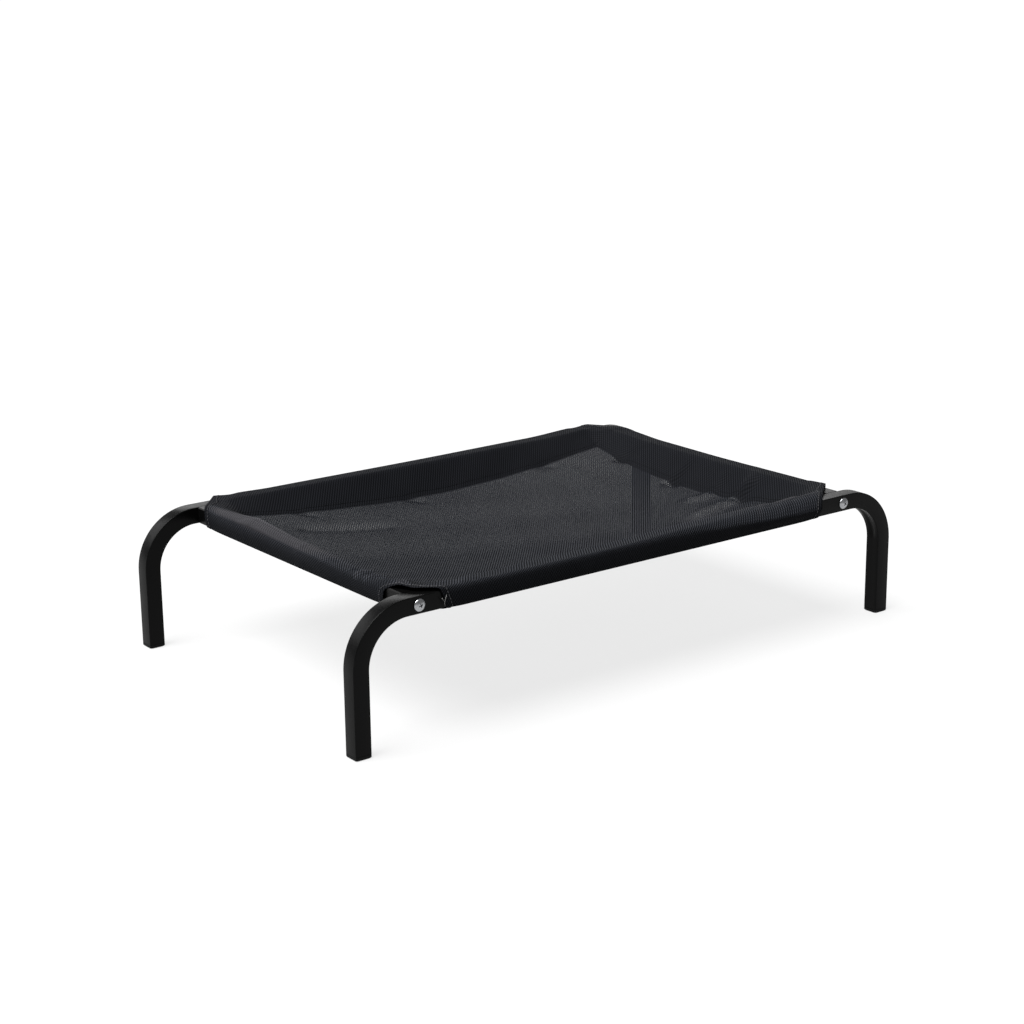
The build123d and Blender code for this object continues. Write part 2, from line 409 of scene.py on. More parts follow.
screw_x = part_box("corner_screws")[1].x - head_radius
seats = bpy.data.meshes.new("corner_screw_heads")
places = []
for corner in screw_turns:
    side_y = -1 if corner.startswith("front") else 1
    side_x = -1 if corner.endswith("left") else 1
    places.append((side_x * screw_x, side_y * half_width, rail_z))
seats.from_pydata(places, [], [])
outward = seats.attributes.new("outward", "FLOAT_VECTOR", "POINT")
outward.data.foreach_set("vector", [way for place in places for way in (0, np.sign(place[1]), 0)])
paint(seats, "turn", [radians(angle) for angle in screw_turns.values()])
screw = screw_mesh()
screws = bpy.data.objects.new("corner_screw_set", seats)
bpy.context.scene.collection.objects.link(screws)
run_tree(screws, screw_tree(), Screw=screw, Coat=zinc)
bpy.data.objects.remove(screw)
screws.data.set_sharp_from_angle(angle=screw_sharp)
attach(screws, "root")
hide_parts("corner_screws")

# Feet: moulded black plastic caps pushed into the open ends of the legs.
# The cap is flush with the tube and rounded where it meets the floor; ribs grip inside the tube.

foot_flange = frame_low.z
foot_round = 0.0023
foot_corner_growth = 1.6  # the corners get rounder towards the floor
foot_round_steps = 6
foot_corner_steps = 4
foot_plug_height = 0.016
foot_plug_side = 0.0162
foot_plug_corner = 0.0006
foot_rib_side = 0.0173
foot_rib_height = 0.0012
foot_ribs = 3
parting_groove = 0.00035  # shadow line between the cap and the tube
cap_sharp = radians(40)


def square_ring(side, corner, z):
    """Points round a level square with round corners."""
    ring = []
    for quarter in range(4):
        turn = quarter * pi / 2
        for step in range(foot_corner_steps + 1):
            angle = turn + step / foot_corner_steps * pi / 2
            centre = Matrix.Rotation(turn, 2) @ Vector((side / 2 - corner, side / 2 - corner))
            ring.append((centre.x + corner * cos(angle), centre.y + corner * sin(angle), z))
    return ring


def foot_mesh(name, x, y):
    """A closed cap: its round edge at the floor, its flange, and the ribbed plug inside the leg."""
    rings = []
    for step in range(foot_round_steps + 1):
        angle = step / foot_round_steps * pi / 2
        inset = foot_round * (1 - sin(angle))
        z = foot_round * (1 - cos(angle))
        rings.append(square_ring(tube - 2 * inset, tube_corner + foot_corner_growth * inset, z))
    rings.append(square_ring(tube, tube_corner, foot_flange - 2 * parting_groove))
    rings.append(square_ring(tube - 2 * parting_groove, tube_corner, foot_flange))
    rings.append(square_ring(foot_plug_side, foot_plug_corner, foot_flange))
    pitch = foot_plug_height / (foot_ribs + 1)
    for rib in range(foot_ribs):
        low = foot_flange + pitch * (rib + 1) - foot_rib_height / 2
        high = low + foot_rib_height
        for side, z in (
            (foot_plug_side, low),
            (foot_rib_side, low),
            (foot_rib_side, high),
            (foot_plug_side, high),
        ):
            rings.append(square_ring(side, foot_plug_corner, z))
    rings.append(square_ring(foot_plug_side, foot_plug_corner, foot_flange + foot_plug_height))
    points = np.array(rings) + (x, y, 0)
    index = np.arange(points.shape[0] * points.shape[1]).reshape(len(rings), -1)
    faces = grid_faces(index, closed=True) + [index[0][::-1].tolist(), index[-1].tolist()]
    mesh = bpy.data.meshes.new(name)
    mesh.from_pydata(points.reshape(-1, 3), [], faces)
    return mesh


for corner in screw_turns:
    low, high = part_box(f"{corner}_foot")
    name = f"{corner}_cap"
    cap = new_piece(name, foot_mesh(name, (low.x + high.x) / 2, (low.y + high.y) / 2), plastic)
    cap.data.set_sharp_from_angle(angle=cap_sharp)
    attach(cap, "root")
    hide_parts(f"{corner}_foot")

# Mat: one cloth of coated open weave. Each side is folded round its rail and sewn back to itself,
# which makes a doubled band; the middle is a single layer and sags. The corners are cut away so
# that the frame can be screwed together, and the tips of the cloth stand a little off the rails.

cloth = 0.00025
half_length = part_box("right_cross_rail")[1].x
seam_inset = 0.048  # outer face of a rail to the seam
band_start = 0.020  # outer face of a rail to its inner top edge
cover = (0.013, 0.016)  # joint's outer corner to the tip of the cloth, along X and Y
seam_drop_corner = 0.013
seam_drop_middle = 0.034
mat_drop = 0.046
wrap_out = 0.0019  # outside of the cloth to the outer face of the rail
wrap_under = 0.0017
wrap_end = 0.0007  # the same at a sleeve's end, which is sewn tight
tight_reach = 0.016  # from that end
lower_round = 0.003
layer_gap = 0.0009  # between the two layers at the seam
seam_allowance = 0.002  # doubled cloth past the seam
band_soft = (0.03, 0.02)  # roundness of a band's slope at the rail and at the seam, as shares of it
edge_control = (0.48, 0.06)  # corner of the outer edge's curve, in and down, as shares of the belly
face_bulge = 0.0007
end_run = 0.05  # a sleeve's end keeps its width over this stretch, and the rest is stretched to fit

# How far each sleeve stops short of the joint's outer corner, along the side frame and the cross rail
sleeve_cut = {
    "front_left": (0.0375, 0.0485),
    "front_right": (0.0485, 0.0425),
    "rear_left": (0.0345, 0.0395),
    "rear_right": (0.0305, 0.042),
}
# How much further back each end is at the foot of the rail's outer face
end_slant = {
    "front_left": (0.007, 0.002),
    "front_right": (0.007, 0.007),
    "rear_left": (0.007, 0.004),
    "rear_right": (0.007, 0.007),
}
# Tip of the cloth in each corner, from the joint's outer corner along X and Y
corner_tip = {
    "front_left": (0.0130, 0.0160),
    "front_right": (0.0245, 0.0205),
    "rear_left": (0.0165, 0.0195),
    "rear_right": (0.0165, 0.0185),
}
tip_reach = 0.030  # a tip that is drawn in takes the cloth with it over this distance
# Height of the cloth over the rail, and how wide the outer top edge is rounded, along each side
rail_lift = {
    "front": (
        (-0.31, 0.0048), (-0.27, 0.0022), (-0.07, 0.0012), (0.10, 0.0014), (0.22, 0.0040), (0.31, 0.0060),
    ),
    "rear": (
        (-0.31, 0.0066), (-0.285, 0.0036), (-0.23, 0.0022), (0.0, 0.0018), (0.20, 0.0026), (0.31, 0.0062),
    ),
    "left": (
        (-0.22, 0.0050), (-0.16, 0.0024), (-0.10, 0.0016), (-0.06, 0.0038), (0.13, 0.0048), (0.22, 0.0062),
    ),
    "right": ((-0.22, 0.0050), (-0.195, 0.0032), (0.0, 0.0018), (0.12, 0.0024), (0.22, 0.0060)),
}
edge_round = {
    "front": (
        (-0.28, 0.0050), (-0.05, 0.0036), (0.08, 0.0054), (0.14, 0.0080), (0.21, 0.0118), (0.255, 0.0140),
    ),
    "rear": ((-0.28, 0.0045), (0.28, 0.0045)),
    "left": ((-0.215, 0.0125), (-0.15, 0.0068), (-0.07, 0.0050), (0.13, 0.0035), (0.19, 0.0050)),
    "right": ((-0.19, 0.0045), (0.19, 0.0045)),
}
# How far a loose sleeve stands out from the rail below that edge
belly = {
    "front": (
        (-0.05, 0.0), (0.03, 0.0005), (0.08, 0.0014), (0.14, 0.0028),
        (0.21, 0.0045), (0.26, 0.0050), (0.31, 0.0030),
    ),
    "rear": ((-0.28, 0.0), (0.28, 0.0)),
    "left": ((-0.19, 0.0008), (0.0, 0.0), (0.19, 0.0)),
    "right": ((-0.19, 0.0), (0.19, 0.0)),
}
# Further height of the cloth over the rail's inner top edge
crest_lift = {
    "front": ((-0.28, 0.0), (-0.05, 0.0015), (0.08, 0.0042), (0.16, 0.0030), (0.23, 0.0), (0.31, 0.0008)),
    "rear": ((-0.28, 0.0), (0.28, 0.0)),
    "left": (
        (-0.12, -0.001), (-0.05, -0.0018), (0.013, -0.0018),
        (0.101, 0.0024), (0.17, -0.0028), (0.22, -0.003),
    ),
    "right": ((-0.19, 0.0), (0.19, 0.0)),
}


def eased(place, stations):
    """Value at a place between the stations of a list, without corners."""
    at, value = np.array(stations).T
    k = np.clip(np.searchsorted(at, place) - 1, 0, len(at) - 2)
    share = np.clip((place - at[k]) / (at[k + 1] - at[k]), 0, 1)
    return value[k] + (value[k + 1] - value[k]) * s_curve(share)


def softened(value, width):
    """Zero below zero, and then the value, with a round corner of some width."""
    return width * np.logaddexp(0, value / width)


def band_share(inset):
    """0 on the rail, 1 from the seam inwards, as an almost straight slope."""
    run = seam_inset - band_start
    rise = softened((inset - band_start) / run, band_soft[0])
    return 1 - softened(1 - rise, band_soft[1])


def panel_drop(x, y):
    """How far the cloth inside the seams hangs below the rails."""
    across = np.clip(x / (half_length - seam_inset), -1, 1)
    along = np.clip(y / (half_width - seam_inset), -1, 1)
    dip_x = 1 - across**2
    dip_y = 1 - along**2
    sides = seam_drop_middle - seam_drop_corner
    shared = seam_drop_corner + 2 * sides - mat_drop
    return seam_drop_corner + sides * (dip_x + dip_y) - shared * dip_x * dip_y


# Single creases and tucks: both ends, height and half width
creases = (
    ((-0.328, -0.010), (-0.301, -0.012), 0.0013, 0.0030),
    ((-0.327, -0.133), (-0.309, -0.135), 0.0020, 0.0028),
    ((-0.324, -0.151), (-0.300, -0.163), 0.0016, 0.0030),
    ((-0.318, -0.168), (-0.304, -0.186), 0.0013, 0.0026),
    ((-0.318, 0.190), (-0.314, -0.110), 0.0010, 0.0022),
    ((-0.330, -0.060), (-0.304, -0.085), 0.0009, 0.0040),
    ((-0.330, 0.120), (-0.305, 0.105), 0.0010, 0.0045),
    ((-0.301, -0.195), (-0.270, -0.218), 0.0012, 0.0040),
    ((-0.326, -0.210), (-0.308, -0.198), 0.0026, 0.0085),
    ((-0.262, -0.231), (-0.236, -0.214), 0.0010, 0.0040),
    ((0.223, -0.214), (0.250, -0.219), 0.0018, 0.0035),
    ((0.176, -0.236), (0.200, -0.214), 0.0009, 0.0045),
    ((0.286, -0.041), (0.250, -0.042), 0.0042, 0.0085),
    ((0.286, -0.092), (0.205, -0.098), 0.0046, 0.0090),
    ((0.306, 0.011), (0.279, 0.029), -0.0070, 0.0085),
    ((0.296, 0.031), (0.280, 0.042), 0.0022, 0.0055),
    ((0.306, -0.118), (0.279, -0.098), -0.0075, 0.0090),
    ((0.296, -0.097), (0.281, -0.084), 0.0024, 0.0055),
    ((0.304, 0.120), (0.281, 0.139), -0.0050, 0.0080),
    ((-0.214, 0.140), (-0.128, 0.119), -0.0036, 0.0100),
    ((-0.230, 0.212), (-0.190, 0.180), -0.0014, 0.0070),
    ((-0.060, 0.216), (-0.030, 0.178), -0.0015, 0.0080),
    ((0.150, 0.216), (0.190, 0.180), -0.0015, 0.0080),
)
crease_tail = 1.6  # a crease runs out over this many half widths
# Puckers beside the seams at the left and right
pucker_height = 0.0006
pucker_pitch = 0.0405
pucker_crest = -0.047  # where one of them is highest
pucker_middle = -0.067
pucker_reach = 0.050  # along the seam, from that middle
pucker_inset = 0.012  # from the seam inwards
pucker_width = 0.028
# Slack in the panel: height, turns along X and Y over a length, that length and where it starts
slack_waves = ((0.0004, (0.9, 2.6), 0.31, 0.7), (0.0003, (3.1, -1.2), 0.27, 2.1))
# Folds down the slope of a band: height, lean, spacing and where they start
end_folds = (0.0016, 0.35, 0.094, 0.9)
side_folds = (0.0010, 0.4, 0.117, 2.2)
left_folds = 0.5  # height of those at the left, as a share of the right


def crease_height(x, y):
    """Height of the creases over a smooth cloth; each fades out at its ends."""
    height = np.zeros(np.broadcast(x, y).shape)
    for start, end, rise, wide in creases:
        run = np.subtract(end, start)
        length = np.hypot(*run)
        ahead = ((x - start[0]) * run[0] + (y - start[1]) * run[1]) / length
        aside = ((x - start[0]) * run[1] - (y - start[1]) * run[0]) / length
        past = np.maximum(np.maximum(-ahead, ahead - length), 0)
        if rise < 0:
            rise = rise * band_share(half_length - np.abs(x)) * band_share(half_width - np.abs(y))
        height = height + rise * np.exp(-((aside / wide) ** 2) - (past / (crease_tail * wide)) ** 2)
    return height


def band_folds(inset, along, folds):
    """Height of the folds down a band, which are highest halfway to the seam."""
    rise, lean, pitch, phase = folds
    slope = (1 - band_share(inset)) * band_share(inset) * 4
    return rise * slope * np.sin(2 * pi * (along + lean * inset) / pitch + phase)


def ripples(x, y):
    """Puckers beside the seams, slack in the panel, folds down the bands, and the creases."""
    inset_x = half_length - np.abs(x)
    inset_y = half_width - np.abs(y)
    near_seam = np.exp(-(((inset_x - seam_inset - pucker_inset) / pucker_width) ** 2)) * band_share(inset_x)
    along = np.exp(-(((y - pucker_middle) / pucker_reach) ** 2))
    height = pucker_height * near_seam * along * np.cos(2 * pi * (y - pucker_crest) / pucker_pitch)
    inner = band_share(inset_x) * band_share(inset_y)
    for rise, (turns_x, turns_y), length, phase in slack_waves:
        height += rise * inner * np.sin(2 * pi * (turns_x * x + turns_y * y) / length + phase)
    height += np.where(x > 0, 1, left_folds) * band_folds(inset_x, y, end_folds)
    height += band_folds(inset_y, x, side_folds)
    return height + crease_height(x, y)


def mat_height(x, y):
    """Height of the cloth's top over the rails' tops, from the rails inwards."""
    inset_x = half_length - np.abs(x)
    inset_y = half_width - np.abs(y)
    hung = band_share(inset_x) * band_share(inset_y)
    on_x = 1 - band_share(inset_x)
    on_y = 1 - band_share(inset_y)
    lift_x = np.where(x < 0, eased(y, rail_lift["left"]), eased(y, rail_lift["right"]))
    lift_y = np.where(y < 0, eased(x, rail_lift["front"]), eased(x, rail_lift["rear"]))
    crest_x = np.where(x < 0, eased(y, crest_lift["left"]), eased(y, crest_lift["right"]))
    crest_y = np.where(y < 0, eased(x, crest_lift["front"]), eased(x, crest_lift["rear"]))
    lift_x = lift_x + crest_x * np.clip(inset_x / band_start, 0, 1)
    lift_y = lift_y + crest_y * np.clip(inset_y / band_start, 0, 1)
    lift = (lift_x * on_x + lift_y * on_y) / np.maximum(on_x + on_y, 1)
    return lift - hung * panel_drop(x, y) + ripples(x, y)


hem_width = 0.007  # cut edge with finer lines
crest_end = 0.030  # outer face of a rail to the start of its band's even slope
seam_margin = 0.012  # inside a seam
edge_lines = (4, 5, 8, 4)  # lines in the hem, over the rail, down the band and inside the seam
panel_lines = (64, 52)  # from there to the middle, along X and Y


def insets(tip, middle, panel_steps):
    """Distances from a rail's outer face at which the mat has lines, from its edge to its middle."""
    stops = (tip, tip + hem_width, crest_end, seam_inset, seam_inset + seam_margin)
    runs = [
        np.linspace(start, end, steps, endpoint=False)
        for start, end, steps in zip(stops, stops[1:], edge_lines)
    ]
    return np.concatenate([*runs, np.linspace(stops[-1], middle, panel_steps)])


def mirrored(distances, half):
    """Places on both sides of the middle, from distances to an edge that is half a width away."""
    return np.concatenate([distances - half, (half - distances[:-1])[::-1]])


line_x = mirrored(insets(cover[0], half_length, panel_lines[0]), half_length)
line_y = mirrored(insets(cover[1], half_width, panel_lines[1]), half_width)
grid_x, grid_y = np.meshgrid(line_x, line_y, indexing="ij")
for corner, tip in corner_tip.items():
    side_y = -1 if corner.startswith("front") else 1
    side_x = -1 if corner.endswith("left") else 1
    from_tip_x = side_x * line_x[-1] - grid_x
    from_tip_y = side_y * line_y[-1] - grid_y
    drawn = np.exp(-((from_tip_x / tip_reach) ** 2) - (from_tip_y / tip_reach) ** 2)
    grid_x = grid_x - side_x * (tip[0] - cover[0]) * drawn
    grid_y = grid_y - side_y * (tip[1] - cover[1]) * drawn
top_index = np.arange(grid_x.size).reshape(grid_x.shape)
mat_points = [np.stack([grid_x, grid_y, rail_top + mat_height(grid_x, grid_y)], -1).reshape(-1, 3)]
mat_flat = [np.stack([grid_x, grid_y], -1).reshape(-1, 2)]
mat_faces = [quad[::-1] for quad in grid_faces(top_index)]
flap_index = {}
# Rows of a sleeve: on top, round the outer edge, down the outer face, round its foot, under the rail
# and back to the seam
top_rows, edge_rows, face_rows, lower_rows, under_rows, back_rows = 3, 8, 5, 5, 4, 8
outer_rows = top_rows + edge_rows + face_rows + lower_rows
wrap_rows = outer_rows + under_rows
crease_rows = 9  # the creases run out over the edge in these


def flap_path(side, along, top, tip):
    """Inset and height of the cloth from the top of a rail, round it and back to the seam."""
    wide = eased(along, edge_round[side])
    out = eased(along, belly[side])
    ones = np.ones_like(along)
    from_end = np.abs(along).max() - np.abs(along)
    under = wrap_under - (wrap_under - wrap_end) * np.exp(-((from_end / tight_reach) ** 2))
    rows = []
    for step in range(1, top_rows + 1):
        share = step / top_rows
        rows.append((tip + (wide - wrap_out - tip) * share, top))
    pull_in, pull_down = edge_control
    for step in range(1, edge_rows + 1):
        share = step / edge_rows
        start, middle, end = (1 - share) ** 2, 2 * share * (1 - share), share**2
        inset = start * (wide - wrap_out) + middle * (pull_in * out - wrap_out) - end * (out + wrap_out)
        rows.append((inset, top - end * wide - middle * pull_down * out))
    high = top - wide
    low = -tube - under + lower_round
    for step in range(1, face_rows + 1):
        share = step / face_rows
        bulge = face_bulge * sin(pi * share)
        rows.append((-wrap_out - out * (1 - share) - bulge, high + (low - high) * share))
    for step in range(1, lower_rows + 1):
        angle = step / lower_rows * pi / 2
        inset = -wrap_out + lower_round * (1 - cos(angle))
        rows.append((inset * ones, low - lower_round * sin(angle)))
    bottom = -tube - under
    for step in range(1, under_rows + 1):
        inset = -wrap_out + lower_round + (band_start + wrap_out - lower_round) * step / under_rows
        rows.append((inset * ones, bottom))
    if side in ("front", "rear"):
        seam = -panel_drop(along, half_width - seam_inset)
    else:
        seam = -panel_drop(half_length - seam_inset, along)
    for step in range(1, back_rows + 1):
        share = step / back_rows
        inset = band_start + (seam_inset - band_start) * share
        rows.append((inset * ones, bottom + (seam - bottom) * share))
    return rows


def sleeve_end(inset, drop, tip, cut, slant, half):
    """Where a sleeve's row ends along its rail, measured from the middle."""
    over = np.clip((tip[1] - inset) / (tip[1] + wrap_out), 0, 1)
    upper = tip[0] + (cut - tip[0]) * over + slant * np.clip(drop / tube, 0, 1)
    return half - upper


for side, turn in (("front", 0), ("rear", 0), ("left", 1), ("right", 1)):
    sign = -1 if side in ("front", "left") else 1
    line = line_y if turn else line_x
    half_along = half_width if turn else half_length
    half_over = half_length if turn else half_width
    tip_over = cover[0] if turn else cover[1]
    edge = -1 if sign > 0 else 0
    first = top_index[edge, :] if turn else top_index[:, edge]
    top = mat_points[0][first, 2] - rail_top
    ends = ("front", "rear") if turn else ("left", "right")
    rows = [first]
    start = sum(len(block) for block in mat_points)
    flat_run = tip_over
    last = (tip_over * np.ones_like(line), top)
    width = np.abs(line[0])
    for count, (inset, height) in enumerate(flap_path(side, line, top, tip_over)):
        flat_run = flat_run - np.hypot(inset - last[0], height - last[1]).mean()
        last = (inset, height)
        under = count >= outer_rows
        along = line.copy()
        for k, end in enumerate(ends):
            corner = f"{side}_{end}" if not turn else f"{end}_{side}"
            cut, slant = sleeve_cut[corner][turn], end_slant[corner][turn]
            here = line < 0 if k == 0 else line > 0
            if under:
                share = np.clip((inset + wrap_out) / (band_start + wrap_out), 0, 1)
                stop = cut + slant + (band_start - cut - slant) * share
                stop = np.where(inset > band_start, inset, stop)
                reach = half_along - stop
            else:
                tip = corner_tip[corner][::-1] if turn else corner_tip[corner]
                reach = sleeve_end(inset, -height, tip, cut, slant, half_along)
            middle_run = width - end_run
            far = np.abs(line)
            stretched = far * (reach - end_run) / middle_run
            stretched = np.where(far > middle_run, reach - (width - far), stretched)
            along = np.where(here, np.sign(line) * stretched, along)
        over = sign * (half_over - inset)
        z = rail_top + height
        x, y = (over, along) if turn else (along, over)
        if count < crease_rows:
            z = z + (1 - count / crease_rows) * crease_height(x, y)
        if count >= wrap_rows:
            gap = layer_gap * (count - wrap_rows + 1) / back_rows
            z = np.minimum(z, rail_top + mat_height(x, y) - gap)
        flat = (sign * (half_over - flat_run) * np.ones_like(line), along)
        mat_points.append(np.stack((x, y, z), -1))
        mat_flat.append(np.stack(flat if turn else flat[::-1], -1))
        rows.append(np.arange(start, start + len(line)))
        start += len(line)
    index = np.array(rows)
    flap_index[side] = index
    quads = grid_faces(index)
    mat_faces += quads if side in ("rear", "left") else [quad[::-1] for quad in quads]

mat_points = np.concatenate(mat_points)
mat_flat = np.concatenate(mat_flat)


def cloth_mesh(name, points, flat, faces):
    """A sheet whose UV map is its flat cut in metres."""
    mesh = bpy.data.meshes.new(name)
    mesh.from_pydata(points, [], faces)
    corners = np.zeros(len(mesh.loops), np.int32)
    mesh.loops.foreach_get("vertex_index", corners)
    mesh.uv_layers.new(name="flat").data.foreach_set("uv", flat[corners].astype(np.float32).ravel())
    return mesh


# Painted highlight along the rails: on top, on the outer face as a share of it, as a brighter line at the
# inner fold, and how far in from the outer face it reaches
highlight_strength = {
    "front": ((-0.30, 0.20), (0.0, 0.22), (0.20, 0.32), (0.30, 0.32)),
    "left": ((-0.20, 0.12), (-0.10, 0.22), (0.0, 0.85), (0.16, 1.0), (0.20, 0.45)),
}
outer_highlight = {"front": 0.0, "left": 0.30}
fold_highlight = {
    "front": ((-0.30, 0.02), (0.0, 0.06), (0.10, 0.34), (0.30, 0.34)),
    "left": ((-0.10, 0.0), (-0.02, 0.2), (0.05, 0.8), (0.20, 0.8)),
}
highlight_reach = {
    "front": ((-0.30, 0.023), (0.30, 0.023)),
    "left": ((0.13, 0.0235), (0.20, 0.014)),
}
fold_inset = 0.0190
fold_width = 0.0027
top_blend = 0.002  # height over which the painted highlight on top runs out at the outer edge
outer_highlight_depth = 0.010  # the painted highlight on an outer face runs out over this depth
outer_full = 1.2  # it is full over the first fifth of that depth
edge_shade = 1.4  # a painted dark line on the edge itself, as a share of the highlight on the face
edge_place = 0.75  # where that painted dark line is darkest, as a share of the edge's roundness
edge_width = 0.0011
inner_blend = 0.003
# Painted highlight on the ridges of the creases over the rails
ridge_highlight = 0.5
ridge_height = 0.002  # of a crease with that painted highlight


def painted_light_share(side, along, inset, z):
    """Share of painted light over a rail: highlight on top and outer face, a dark line on the edge, bright
    fold and ridges.
    """
    wide = eased(along, edge_round[side])
    depth = rail_top + eased(along, rail_lift[side]) - z
    top = np.clip((wide - depth) / top_blend + 0.5, 0, 1)
    outer = outer_highlight[side] * np.clip(outer_full - (depth - wide) / outer_highlight_depth, 0, 1)
    # A painted dark line along the outer edge
    edge = edge_shade * outer_highlight[side] * np.exp(-(((depth - edge_place * wide) / edge_width) ** 2))
    inner = np.clip((eased(along, highlight_reach[side]) - inset) / inner_blend, 0, 1)
    # A painted highlight line along the inner fold
    fold = np.exp(-(((inset - fold_inset) / fold_width) ** 2)) * top * inner
    if side == "front":
        raised = crease_height(along, -half_width + inset)
    else:
        raised = crease_height(-half_length + inset, along)
    # Painted highlights on the ridges of the creases
    ridge = ridge_highlight * np.clip(raised / ridge_height, 0, 1) * top * inner
    # The painted highlight on top and down the outer face, less the painted dark line on the edge
    worn = inner * eased(along, highlight_strength[side]) * (top + (1 - top) * outer - edge)
    return worn + fold * eased(along, fold_highlight[side]) + ridge


warp_pitch = 0.0018
weft_pitch = 0.0021


def mesh_cloth():
    """Open twill of dull black yarn, closed where it lies double; its colour holds painted light, lighter
    in the single layer and where highlights are painted over the rails.
    """
    gloss = {"Specular_IOR_Level": 0.012, "Coat_Roughness": 0.45, "Coat_IOR": 1.35}
    material, shader, place = finish("mesh_cloth", **gloss)
    doubled = place.node("ShaderNodeAttribute", {}, output="Fac", attribute_name="doubled")
    painted_light = place.node("ShaderNodeAttribute", {}, output="Fac", attribute_name="painted_light")
    flat = place.node("ShaderNodeUVMap", {}, uv_map="flat")
    warp = flat.node("ShaderNodeSeparateXYZ", {"Vector": flat}, output="X")
    weft = flat.node("ShaderNodeSeparateXYZ", {"Vector": flat}, output="Y")
    across, along = warp * (pi / warp_pitch), weft * (pi / weft_pitch)
    crossing = across.sine() * along.sine()
    twill = crossing + (across + pi / 2).sine() * (along + pi / 2).sine() * 0.35
    smooth = doubled * 0.45 * (1 - painted_light.step(0.1, 0.25)) + painted_light.step(0.4, 0.9) * 0.6
    crown = 0.5 - twill * (1 - smooth) * 0.5
    crease = flat.noise(26, 4, 0.6)
    fibre = place.noise(1500, 2)
    (1 - crossing.step(0.55, 0.72) * (1 - doubled) * 0.68).feed(shader, "Alpha")
    shade = crown * crown * 0.86 + crease * 0.08 + fibre * 0.06
    # Painted light: the single layer is lighter than the doubled cloth, standing in for light that comes
    # through it, and the cloth over the rails is lighter by the painted highlight
    shade = shade * (1.5 + painted_light * 2.9 - doubled * 0.5) * 0.25
    # A cool blue-grey that stands in partly for bluish light, and a neutral grey where the highlight is
    # painted
    cool_tint = shade.tint((0.0002, 0.0002, 0.0003), (0.085, 0.0905, 0.107))
    worn = shade.tint((0.0002, 0.0002, 0.0003), (0.092, 0.0905, 0.100))
    painted_light.step(0.3, 0.8).tint(cool_tint, worn).feed(shader, "Base Color")
    (0.9 - crown * 0.4 - crease * 0.1).feed(shader, "Roughness")
    (crown * crown * 0.05).feed(shader, "Coat Weight")
    (crown + crease * 0.4).bump(0.0009, 1.0).feed(shader, "Normal")
    return material


weave = mesh_cloth()
mat = new_piece("mesh_mat", cloth_mesh("mesh_mat", mat_points, mat_flat, mat_faces), weave)
mat_x, mat_y, mat_z = mat_points.T
# Painted highlight and shade on the cloth over the front and left rails
on_front = painted_light_share("front", mat_x, half_width + mat_y, mat_z)
on_left = painted_light_share("left", mat_y, half_length + mat_x, mat_z)
paint(mat.data, "painted_light", on_front + on_left)
from_edge = np.minimum(half_length - np.abs(mat_x), half_width - np.abs(mat_y))
# Where the cloth lies double: no holes, and darker, as the painted light through a single layer is left out
paint(mat.data, "doubled", from_edge < seam_inset + seam_allowance)
mat_ways = np.array([vertex.normal for vertex in mat.data.vertices])
thick = mat.modifiers.new("thickness", "SOLIDIFY")
thick.thickness = cloth
thick.offset = -1
settle(mat)
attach(mat, "root")
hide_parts("mat_panel", "front_sleeve", "right_sleeve", "rear_sleeve", "left_sleeve")
flat_low, flat_high = mat_flat.min(0), mat_flat.max(0)
flat_size = (flat_high - flat_low).tolist()
notched = 0.9  # share of that rectangle which is left when its corners are cut out
notched * flat_size[0] * flat_size[1]

# Corner bindings: a woven tape folded over each cut edge of the mat and sewn through near its inner edge.
# It runs from under one sleeve, round the tip of the corner, to under the next.

tape_steps = 5  # lines of the mat that the tape covers
tape_proud = 0.00025  # over the cloth
tape_profile = (0.55, 1, 1, 1, 1, 0.3)  # share of that height, from the cut edge inwards
tape_past = 0.0003  # past the cut edge


def corner_lines(corner):
    """Vertex numbers of the mat along a cut corner, from its edge inwards, for each place on the edge."""
    at_y, at_x = corner.split("_")
    pick_x = slice(0, tape_steps + 1) if at_x == "left" else slice(-1, -tape_steps - 2, -1)
    pick_y = slice(0, tape_steps + 1) if at_y == "front" else slice(-1, -tape_steps - 2, -1)
    tip = np.diagonal(top_index[pick_x, pick_y])
    first = flap_index[at_x][1 : wrap_rows + 1, pick_y]
    second = flap_index[at_y][1 : wrap_rows + 1, pick_x]
    return np.concatenate([first[::-1], tip[None], second])


def face_outwards(mesh):
    """Turns the faces of closed shells outwards."""
    shell = bmesh.new()
    shell.from_mesh(mesh)
    bmesh.ops.recalc_face_normals(shell, faces=shell.faces)
    shell.to_mesh(mesh)
    shell.free()


def tape_mesh(name, lines):
    """A closed strip round the edge of the cloth, whose UV map is metres along and across it."""
    point = mat_points[lines]
    way = mat_ways[lines]
    past = point[:, 0] - point[:, 1]
    past *= tape_past / np.linalg.norm(past, axis=-1, keepdims=True)
    rise = tape_proud * np.array(tape_profile)
    above = point + way * rise[:, None]
    below = point - way * (rise[:, None] + cloth)
    above[:, 0] += 0.5 * past
    below[:, 0] += 0.5 * past
    tip = point[:, :1] - way[:, :1] * cloth / 2 + past[:, None]
    rings = np.concatenate([above[:, ::-1], tip, below], axis=1)
    cut = mat_flat[lines]
    flat = np.concatenate([cut[:, ::-1], cut[:, :1], cut], axis=1).reshape(-1, 2)
    index = np.arange(rings.shape[0] * rings.shape[1]).reshape(rings.shape[:2])
    faces = grid_faces(index, closed=True) + [index[0][::-1].tolist(), index[-1].tolist()]
    mesh = cloth_mesh(name, rings.reshape(-1, 3), flat, faces)
    face_outwards(mesh)
    paint(mesh, "doubled", np.ones(len(mesh.vertices)))
    return mesh


